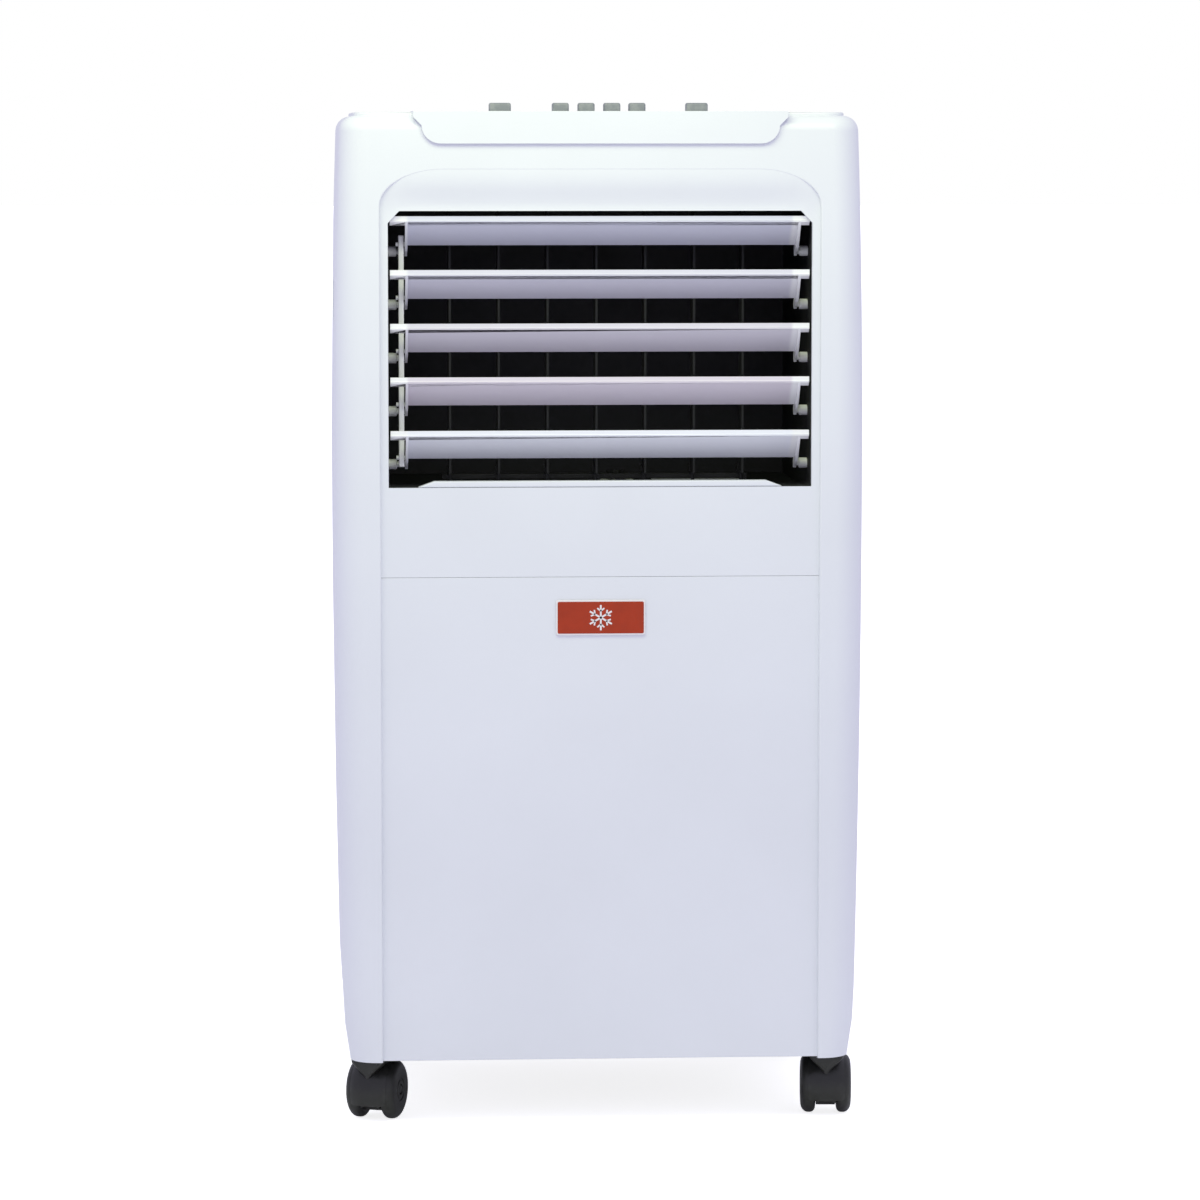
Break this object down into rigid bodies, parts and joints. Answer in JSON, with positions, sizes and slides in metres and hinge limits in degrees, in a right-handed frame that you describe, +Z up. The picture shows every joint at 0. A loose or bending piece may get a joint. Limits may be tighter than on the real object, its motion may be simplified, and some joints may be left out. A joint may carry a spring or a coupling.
{
  "type": "evaporative air cooler",
  "caption": "White floor-standing evaporative air cooler with a louvred outlet, push keys, water drawer, lift-off rear grille and twin-wheel castors.",
  "frame": {"origin": "on the floor under the middle of the cabinet's overall box", "axes": "+Z up, the louvres and keys face -Y, the grille and water drawer face +Y, +X is the viewer's right"},
  "size_m": [0.354, 0.2952, 0.6865],
  "materials": {
    "casing_white": "satin moulded ABS",
    "louvre_white": "satin moulded ABS",
    "duct_black": "matt moulded plastic",
    "key_grey": "fine matt texture",
    "castor_black": "satin moulded nylon",
    "castor_wheel_black": "satin moulded nylon",
    "badge_red": "gloss",
    "motor_steel": "satin zinc",
    "bracket_steel": "zinc plated",
    "shaft_steel": "ground",
    "scroll_grey": "matt moulded plastic",
    "fan_charcoal": "matt moulded plastic",
    "pad_brown": "corrugated cellulose",
    "inner_white": "matt moulded plastic",
    "pump_charcoal": "matt moulded plastic",
    "hose_clear": "soft vinyl",
    "tray_grey": "matt moulded plastic",
    "tank_white": "satin moulded plastic",
    "filter_charcoal": "matt moulded net"
  },
  "bodies": {
    "housing": {"front_casing": "casing_white", "rear_casing": "casing_white", "louvre_frame": "casing_white", "lower_front_panel": "casing_white", "badge": "badge_red", "outlet_duct": "duct_black", "swing_motor": "motor_steel", "blower_scroll": "scroll_grey", "scroll_cover": "scroll_grey", "fan_motor": "motor_steel", "motor_bracket": "bracket_steel", "cooling_pad": "pad_brown", "pad_frame": "inner_white", "water_distributor": "inner_white", "water_pump": "pump_charcoal", "pump_hose": "hose_clear", "cable_gland": "duct_black", "top_cover": "casing_white", "control_panel": "casing_white", "switch_bank": "pump_charcoal", "base_tray": "tray_grey"},
    "louvre_1": {"louvre_blade_1": "louvre_white"},
    "louvre_2": {"louvre_blade_2": "louvre_white"},
    "louvre_3": {"louvre_blade_3": "louvre_white"},
    "louvre_4": {"louvre_blade_4": "louvre_white"},
    "louvre_5": {"louvre_blade_5": "louvre_white"},
    "louvre_link": {"louvre_link": "louvre_white"},
    "vane_1": {"vane_1": "duct_black"},
    "vane_2": {"vane_2": "duct_black"},
    "vane_3": {"vane_3": "duct_black"},
    "vane_4": {"vane_4": "duct_black"},
    "vane_5": {"vane_5": "duct_black"},
    "vane_6": {"vane_6": "duct_black"},
    "vane_7": {"vane_7": "duct_black"},
    "vane_link": {"vane_link": "duct_black"},
    "swing_crank": {"swing_crank": "inner_white"},
    "blower": {"blower_wheel": "fan_charcoal", "motor_shaft": "shaft_steel"},
    "key_swing": {"key_swing": "key_grey"},
    "key_off": {"key_off": "key_grey"},
    "key_low": {"key_low": "key_grey"},
    "key_medium": {"key_medium": "key_grey"},
    "key_high": {"key_high": "key_grey"},
    "key_cool": {"key_cool": "key_grey"},
    "tank": {"water_tank": "tank_white"},
    "tank_latch": {"tank_latch": "casing_white"},
    "rear_grille": {"rear_grille": "casing_white", "dust_filter": "filter_charcoal"},
    "castor_front_left": {"castor_fork_front_left": "castor_black"},
    "wheel_front_left_a": {"castor_wheel_front_left_a": "castor_wheel_black"},
    "wheel_front_left_b": {"castor_wheel_front_left_b": "castor_wheel_black"},
    "castor_front_right": {"castor_fork_front_right": "castor_black"},
    "wheel_front_right_a": {"castor_wheel_front_right_a": "castor_wheel_black"},
    "wheel_front_right_b": {"castor_wheel_front_right_b": "castor_wheel_black"},
    "castor_rear_left": {"castor_fork_rear_left": "castor_black"},
    "wheel_rear_left_a": {"castor_wheel_rear_left_a": "castor_wheel_black"},
    "wheel_rear_left_b": {"castor_wheel_rear_left_b": "castor_wheel_black"},
    "castor_rear_right": {"castor_fork_rear_right": "castor_black"},
    "wheel_rear_right_a": {"castor_wheel_rear_right_a": "castor_wheel_black"},
    "wheel_rear_right_b": {"castor_wheel_rear_right_b": "castor_wheel_black"}
  },
  "joints": [
    {"name": "louvre_3_tilt", "type": "hinge", "parent": "housing", "child": "louvre_3", "pos_m": [0, -0.107, 0.5161], "axis": [1, 0, 0], "range_deg": [-4, 50]},
    {"name": "louvre_1_tilt", "type": "hinge", "parent": "housing", "child": "louvre_1", "pos_m": [0, -0.107, 0.5875], "axis": [1, 0, 0], "range_deg": [-4, 50]},
    {"name": "louvre_2_tilt", "type": "hinge", "parent": "housing", "child": "louvre_2", "pos_m": [0, -0.107, 0.5518], "axis": [1, 0, 0], "range_deg": [-4, 50]},
    {"name": "louvre_4_tilt", "type": "hinge", "parent": "housing", "child": "louvre_4", "pos_m": [0, -0.107, 0.4804], "axis": [1, 0, 0], "range_deg": [-4, 50]},
    {"name": "louvre_5_tilt", "type": "hinge", "parent": "housing", "child": "louvre_5", "pos_m": [0, -0.107, 0.4447], "axis": [1, 0, 0], "range_deg": [-4, 50]},
    {"name": "louvre_link_pin", "type": "hinge", "parent": "louvre_3", "child": "louvre_link", "pos_m": [-0.1322, -0.1168, 0.52109], "axis": [1, 0, 0], "range_deg": [-50, 4]},
    {"name": "vane_4_swing", "type": "hinge", "parent": "housing", "child": "vane_4", "pos_m": [0, -0.084, 0.521], "axis": [0, 0, 1], "range_deg": [-35, 35]},
    {"name": "vane_1_swing", "type": "hinge", "parent": "housing", "child": "vane_1", "pos_m": [-0.099, -0.084, 0.521], "axis": [0, 0, 1], "range_deg": [-35, 35]},
    {"name": "vane_2_swing", "type": "hinge", "parent": "housing", "child": "vane_2", "pos_m": [-0.066, -0.084, 0.521], "axis": [0, 0, 1], "range_deg": [-35, 35]},
    {"name": "vane_3_swing", "type": "hinge", "parent": "housing", "child": "vane_3", "pos_m": [-0.033, -0.084, 0.521], "axis": [0, 0, 1], "range_deg": [-35, 35]},
    {"name": "vane_5_swing", "type": "hinge", "parent": "housing", "child": "vane_5", "pos_m": [0.033, -0.084, 0.521], "axis": [0, 0, 1], "range_deg": [-35, 35]},
    {"name": "vane_6_swing", "type": "hinge", "parent": "housing", "child": "vane_6", "pos_m": [0.066, -0.084, 0.521], "axis": [0, 0, 1], "range_deg": [-35, 35]},
    {"name": "vane_7_swing", "type": "hinge", "parent": "housing", "child": "vane_7", "pos_m": [0.099, -0.084, 0.521], "axis": [0, 0, 1], "range_deg": [-35, 35]},
    {"name": "vane_link_pin", "type": "hinge", "parent": "vane_4", "child": "vane_link", "pos_m": [0, -0.07, 0.43375], "axis": [0, 0, 1], "range_deg": [-35, 35]},
    {"name": "swing_crank_turn", "type": "hinge", "parent": "housing", "child": "swing_crank", "pos_m": [0.0165, -0.052, 0.428], "axis": [0, 0, 1], "continuous": true},
    {"name": "blower_spin", "type": "hinge", "parent": "housing", "child": "blower", "pos_m": [-0.015, 0.0175, 0.321], "axis": [0, 1, 0], "continuous": true},
    {"name": "key_swing_press", "type": "slide", "parent": "housing", "child": "key_swing", "axis": [0, 0, -1], "range_m": [0, 0.003], "stiffness_N_per_m": 300, "springref_m": -0.002},
    {"name": "key_off_press", "type": "slide", "parent": "housing", "child": "key_off", "axis": [0, 0, -1], "range_m": [0, 0.003], "stiffness_N_per_m": 300, "springref_m": -0.002},
    {"name": "key_low_press", "type": "slide", "parent": "housing", "child": "key_low", "axis": [0, 0, -1], "range_m": [0, 0.003], "stiffness_N_per_m": 300, "springref_m": -0.002},
    {"name": "key_medium_press", "type": "slide", "parent": "housing", "child": "key_medium", "axis": [0, 0, -1], "range_m": [0, 0.003], "stiffness_N_per_m": 300, "springref_m": -0.002},
    {"name": "key_high_press", "type": "slide", "parent": "housing", "child": "key_high", "axis": [0, 0, -1], "range_m": [0, 0.003], "stiffness_N_per_m": 300, "springref_m": -0.002},
    {"name": "key_cool_press", "type": "slide", "parent": "housing", "child": "key_cool", "axis": [0, 0, -1], "range_m": [0, 0.003], "stiffness_N_per_m": 300, "springref_m": -0.002},
    {"name": "tank_slide", "type": "slide", "parent": "housing", "child": "tank", "axis": [0, 1, 0], "range_m": [0, 0.2]},
    {"name": "tank_latch_turn", "type": "hinge", "parent": "housing", "child": "tank_latch", "pos_m": [0, 0.1453, 0.204], "axis": [0, 1, 0], "range_deg": [0, 90]},
    {"name": "rear_grille_lift_off", "type": "slide", "parent": "housing", "child": "rear_grille", "axis": [0, 1, 0], "range_m": [0, 0.08]},
    {"name": "castor_front_left_swivel", "type": "hinge", "parent": "housing", "child": "castor_front_left", "pos_m": [-0.155, -0.121, 0.054], "axis": [0, 0, 1], "continuous": true},
    {"name": "wheel_front_left_a_roll", "type": "hinge", "parent": "castor_front_left", "child": "wheel_front_left_a", "pos_m": [-0.15021, -0.10784, 0.02], "axis": [0.9397, -0.342, 0], "continuous": true},
    {"name": "wheel_front_left_b_roll", "type": "hinge", "parent": "castor_front_left", "child": "wheel_front_left_b", "pos_m": [-0.15021, -0.10784, 0.02], "axis": [0.9397, -0.342, 0], "continuous": true},
    {"name": "castor_front_right_swivel", "type": "hinge", "parent": "housing", "child": "castor_front_right", "pos_m": [0.155, -0.121, 0.054], "axis": [0, 0, 1], "continuous": true},
    {"name": "wheel_front_right_a_roll", "type": "hinge", "parent": "castor_front_right", "child": "wheel_front_right_a", "pos_m": [0.15598, -0.10703, 0.02], "axis": [0.9976, -0.0698, 0], "continuous": true},
    {"name": "wheel_front_right_b_roll", "type": "hinge", "parent": "castor_front_right", "child": "wheel_front_right_b", "pos_m": [0.15598, -0.10703, 0.02], "axis": [0.9976, -0.0698, 0], "continuous": true},
    {"name": "castor_rear_left_swivel", "type": "hinge", "parent": "housing", "child": "castor_rear_left", "pos_m": [-0.148, 0.106, 0.054], "axis": [0, 0, 1], "continuous": true},
    {"name": "wheel_rear_left_a_roll", "type": "hinge", "parent": "castor_rear_left", "child": "wheel_rear_left_a", "pos_m": [-0.14605, 0.11986, 0.02], "axis": [0.9903, -0.1392, 0], "continuous": true},
    {"name": "wheel_rear_left_b_roll", "type": "hinge", "parent": "castor_rear_left", "child": "wheel_rear_left_b", "pos_m": [-0.14605, 0.11986, 0.02], "axis": [0.9903, -0.1392, 0], "continuous": true},
    {"name": "castor_rear_right_swivel", "type": "hinge", "parent": "housing", "child": "castor_rear_right", "pos_m": [0.148, 0.106, 0.054], "axis": [0, 0, 1], "continuous": true},
    {"name": "wheel_rear_right_a_roll", "type": "hinge", "parent": "castor_rear_right", "child": "wheel_rear_right_a", "pos_m": [0.15019, 0.11983, 0.02], "axis": [0.9877, -0.1564, 0], "continuous": true},
    {"name": "wheel_rear_right_b_roll", "type": "hinge", "parent": "castor_rear_right", "child": "wheel_rear_right_b", "pos_m": [0.15019, 0.11983, 0.02], "axis": [0.9877, -0.1564, 0], "continuous": true}
  ],
  "couplings": [
    {"joint": "louvre_1_tilt", "follows": "louvre_3_tilt", "ratio": 1},
    {"joint": "louvre_2_tilt", "follows": "louvre_3_tilt", "ratio": 1},
    {"joint": "louvre_4_tilt", "follows": "louvre_3_tilt", "ratio": 1},
    {"joint": "louvre_5_tilt", "follows": "louvre_3_tilt", "ratio": 1},
    {"joint": "louvre_link_pin", "follows": "louvre_3_tilt", "ratio": -1},
    {"joint": "vane_1_swing", "follows": "vane_4_swing", "ratio": 1},
    {"joint": "vane_2_swing", "follows": "vane_4_swing", "ratio": 1},
    {"joint": "vane_3_swing", "follows": "vane_4_swing", "ratio": 1},
    {"joint": "vane_5_swing", "follows": "vane_4_swing", "ratio": 1},
    {"joint": "vane_6_swing", "follows": "vane_4_swing", "ratio": 1},
    {"joint": "vane_7_swing", "follows": "vane_4_swing", "ratio": 1},
    {"joint": "vane_link_pin", "follows": "vane_4_swing", "ratio": -1}
  ]
}
